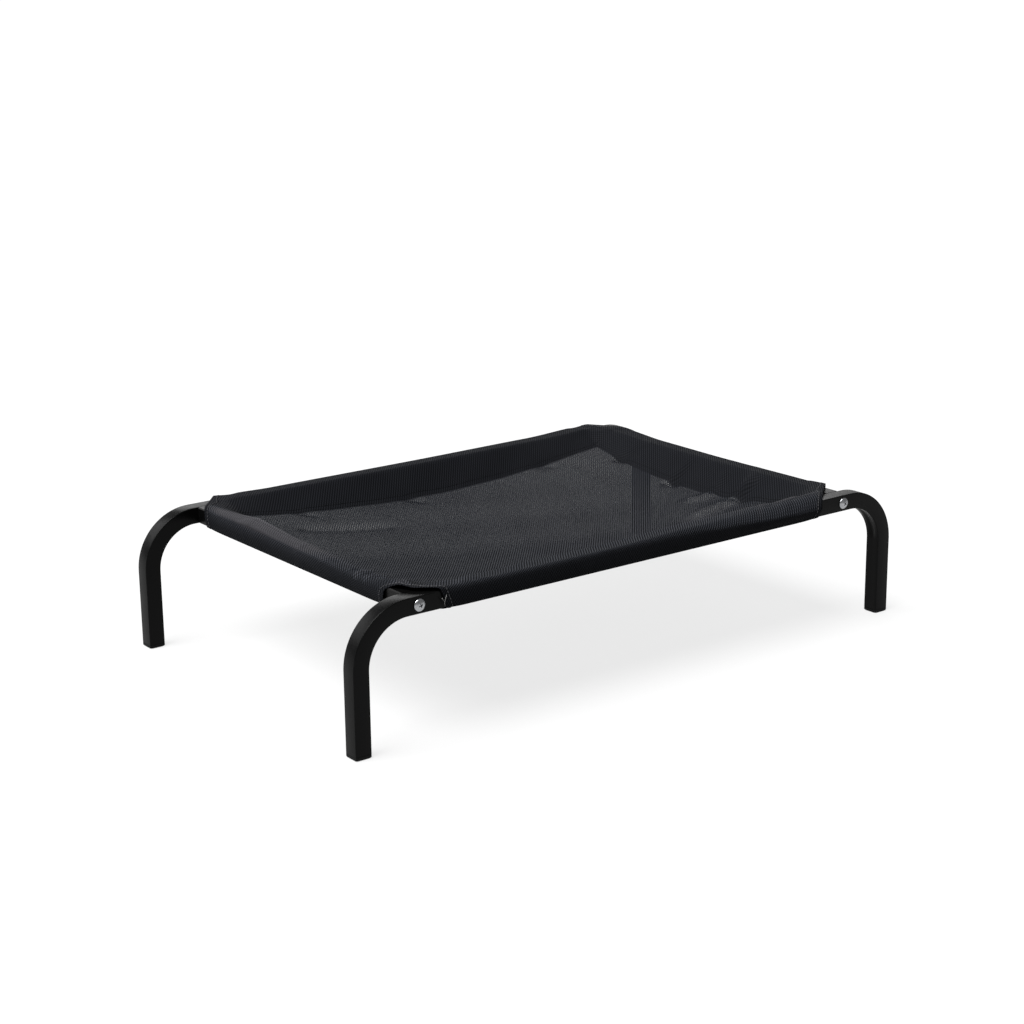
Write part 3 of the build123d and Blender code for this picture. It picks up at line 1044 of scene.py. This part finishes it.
for corner in screw_turns:
    strip = new_piece(f"{corner}_tape", tape_mesh(f"{corner}_tape", corner_lines(corner)), weave)
    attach(strip, "root")
    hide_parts(f"{corner}_corner_binding")

# Stitching: two rows of dark thread close the sleeves along the seams, and one row of grey thread
# holds each binding. The stitches lie on the cloth and are thinner at their ends.

stitch_pitch = 0.0042
stitch_length = 0.0031
thread_radius = 0.00028
stitch_sides = 6
stitch_taper = 1.1  # a stitch's ends are thinner by half this share
seam_rows = (0.0438, 0.0472)  # from the rail's outer face
seam_points = (160, 120)  # along X and Y
seam_stand = 1.4  # middle of a stitch over the cloth, in radii
binding_stand = 0.4  # the same over the tape
binding_row = 4  # line of the mat under the stitches of a binding


def stitch_tree():
    """Tapered stitches of one size, set out evenly along a mesh's lines."""
    asked = {"Pitch": "Float", "Length": "Float", "Radius": "Float", "Thread": "Material"}
    tree, given = open_tree("stitches_along_lines", **asked)
    curve = given["Geometry"].node("GeometryNodeMeshToCurve", {"Mesh": given["Geometry"]})
    even = {"Curve": curve, "Length": given["Pitch"]}
    places = curve.node("GeometryNodeCurveToPoints", even, mode="LENGTH")
    way = Wire(tree, places.socket.node.outputs["Tangent"])
    aim = way.node("FunctionNodeAlignRotationToVector", {"Vector": way}, axis="Z")
    size = {"Radius": given["Radius"], "Depth": given["Length"]}
    size |= {"Vertices": stitch_sides, "Side Segments": 3}
    stitch = places.node("GeometryNodeMeshCylinder", size, fill_type="TRIANGLE_FAN")
    height = stitch.node("GeometryNodeInputPosition", {})
    height = height.node("ShaderNodeSeparateXYZ", {"Vector": height}, output="Z")
    ends = abs(height).node("ShaderNodeMath", {0: abs(height), 1: given["Length"]}, operation="DIVIDE")
    taper = 1 - ends * stitch_taper
    taper = taper.node("ShaderNodeCombineXYZ", {"X": taper, "Y": taper, "Z": 1.0})
    spot = stitch.node("GeometryNodeInputPosition", {})
    moved = spot.node("ShaderNodeVectorMath", {0: spot, 1: taper}, operation="MULTIPLY")
    stitch = stitch.node("GeometryNodeSetPosition", {"Geometry": stitch, "Position": moved})
    stitch = stitch.node("GeometryNodeSetShadeSmooth", {"Geometry": stitch})
    rows = {"Points": places, "Instance": stitch, "Rotation": aim}
    close_tree(tree, places.node("GeometryNodeInstanceOnPoints", rows), given["Thread"])
    return tree


def thread_finish(name, dark, light):
    material, shader, place = finish(name, Specular_IOR_Level=0.1)
    twist = place.noise(2600, 2)
    twist.tint(dark, light).feed(shader, "Base Color")
    twist.step(0.3, 0.7, 0.5, 0.7).feed(shader, "Roughness")
    return material


def lines_mesh(name, lines):
    """Open lines of points, each joined from one point to the next."""
    edges = []
    count = 0
    for line in lines:
        edges += [(count + k, count + k + 1) for k in range(len(line) - 1)]
        count += len(line)
    mesh = bpy.data.meshes.new(name)
    mesh.from_pydata(np.concatenate(lines), edges, [])
    return mesh


def seam_lines():
    lines = []
    for inset in seam_rows:
        reach_x = half_length - inset
        reach_y = half_width - inset
        run_x = np.linspace(-reach_x, reach_x, seam_points[0])
        run_y = np.linspace(-reach_y, reach_y, seam_points[1])
        for x, y in ((run_x, -reach_y), (run_x, reach_y), (-reach_x, run_y), (reach_x, run_y)):
            x, y = np.broadcast_arrays(x, y)
            z = rail_top + mat_height(x, y) + seam_stand * thread_radius
            lines.append(np.stack([x, y, z], -1))
    return lines


def binding_lines():
    lines = []
    for corner in screw_turns:
        line = corner_lines(corner)[:, binding_row]
        lines.append(mat_points[line] + mat_ways[line] * (tape_proud + binding_stand * thread_radius))
    return lines


stitches = stitch_tree()
seam_thread = thread_finish("seam_thread", (0.002, 0.002, 0.0025), (0.006, 0.006, 0.007))
grey_thread = thread_finish("grey_thread", (0.04, 0.04, 0.042), (0.14, 0.14, 0.145))
stitch_sizes = {"Pitch": stitch_pitch, "Length": stitch_length, "Radius": thread_radius}
for name, lines, thread, slot in (
    ("seam_stitches", seam_lines(), seam_thread, "mesh_cloth"),
    ("binding_stitches", binding_lines(), grey_thread, "binding_tape"),
):
    row = bpy.data.objects.new(name, lines_mesh(name, lines))
    bpy.context.scene.collection.objects.link(row)
    run_tree(row, stitches, Thread=thread, **stitch_sizes)
    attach(row, "root")

# Loose thread: the tail of the binding's row of stitches at the front sleeve's left end. It is pale spun
# thread that was left uncut, and its tip has split into two strands.

tail_out = 0.0034  # from the rail's outer face
tail_radius = 0.00034
tail_sides = 6
tail_strands = (
    ((-0.2828, 0.1613), (-0.2843, 0.1571), (-0.2855, 0.1538), (-0.2853, 0.1513), (-0.2850, 0.1488)),
    ((-0.2889, 0.1592), (-0.2873, 0.1564), (-0.2857, 0.1541)),
)


def tail_mesh(name):
    points, faces = [], []
    turn = np.linspace(0, 2 * pi, tail_sides, endpoint=False)[:, None]
    for strand in tail_strands:
        line = np.array([(x, -half_width - tail_out, z) for x, z in strand])
        way = np.gradient(line, axis=0)
        side = np.cross(way / np.linalg.norm(way, axis=1, keepdims=True), (0, 1, 0))
        rings = line[:, None] + tail_radius * (np.cos(turn) * (0, 1, 0) + np.sin(turn) * side[:, None])
        index = len(points) + np.arange(rings.shape[0] * tail_sides).reshape(-1, tail_sides)
        points += rings.reshape(-1, 3).tolist()
        faces += grid_faces(index, closed=True) + [index[0][::-1].tolist(), index[-1].tolist()]
    mesh = bpy.data.meshes.new(name)
    mesh.from_pydata(points, [], faces)
    face_outwards(mesh)
    return mesh


pale_thread = thread_finish("pale_thread", (0.06, 0.06, 0.06), (0.22, 0.22, 0.215))
tail = new_piece("thread_tail", tail_mesh("thread_tail"), pale_thread)
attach(tail, "root")

# Studio: a pale floor that glows a little, a broad light overhead that leans to the left, and a soft panel
# behind the bed on either side, which the tubes mirror. The camera looks down on the front left corner.

floor_mesh = bpy.data.meshes.new("floor")
floor_half = 30
floor_corners = [(floor_half * x, floor_half * y, 0) for x, y in ((-1, -1), (1, -1), (1, 1), (-1, 1))]
floor_mesh.from_pydata(floor_corners, [], [(0, 1, 2, 3)])
floor_finish, floor_shader, floor_place = finish("pale_floor", Roughness=0.9, Specular_IOR_Level=0.1)
floor_place.noise(2).tint((0.10, 0.10, 0.10), (0.12, 0.12, 0.12)).feed(floor_shader, "Base Color")
floor_shader.inputs["Emission Color"].default_value = (1, 1, 1, 1)
floor_shader.inputs["Emission Strength"].default_value = 0.78
floor = new_piece("floor", floor_mesh, floor_finish)
floor.visible_diffuse = False

world = bpy.data.worlds.new("studio")
bpy.context.scene.world = world
world.use_nodes = True
world.node_tree.nodes["Background"].inputs["Color"].default_value = (1, 1, 1, 1)
world.node_tree.nodes["Background"].inputs["Strength"].default_value = 0.30


def soft_light(name, place, aim, size, power):
    light = bpy.data.lights.new(name, "AREA")
    light.shape = "RECTANGLE"
    light.size, light.size_y = size
    light.energy = power
    lamp = bpy.data.objects.new(name, light)
    lamp.location = place
    lamp.rotation_euler = (Vector(aim) - Vector(place)).to_track_quat("-Z", "Y").to_euler()
    bpy.context.scene.collection.objects.link(lamp)


soft_light("rear_light", (2.0, 2.7, 1.5), (0, 0, 0.1), (3.0, 1.4), 26)
soft_light("back_light", (-1.6, 2.4, 1.6), (-0.2, 0, 0.1), (2.4, 1.4), 26)
sky = bpy.data.lights.new("overhead_light", "SUN")
sky.energy = 7.0
sky.angle = radians(42)
overhead = bpy.data.objects.new("overhead_light", sky)
overhead.rotation_euler = (radians(1), radians(-27), 0)
bpy.context.scene.collection.objects.link(overhead)

camera_place = (-1.48807, -1.95184, 0.83846)
camera_heading = -37.075  # degrees from +Y
camera_dip = 15.679
camera_roll = -0.603
camera_data = bpy.data.cameras.new("camera")
camera_data.sensor_width = 36
camera_data.lens = 73.23
camera = bpy.data.objects.new("camera", camera_data)
heading = Matrix.Rotation(radians(camera_heading), 4, "Z")
tilt = Matrix.Rotation(radians(90 - camera_dip), 4, "X")
roll = Matrix.Rotation(radians(camera_roll), 4, "Z")
camera.matrix_world = Matrix.Translation(camera_place) @ heading @ tilt @ roll
bpy.context.scene.collection.objects.link(camera)
bpy.context.scene.camera = camera
bpy.context.scene.view_settings.view_transform = "Standard"
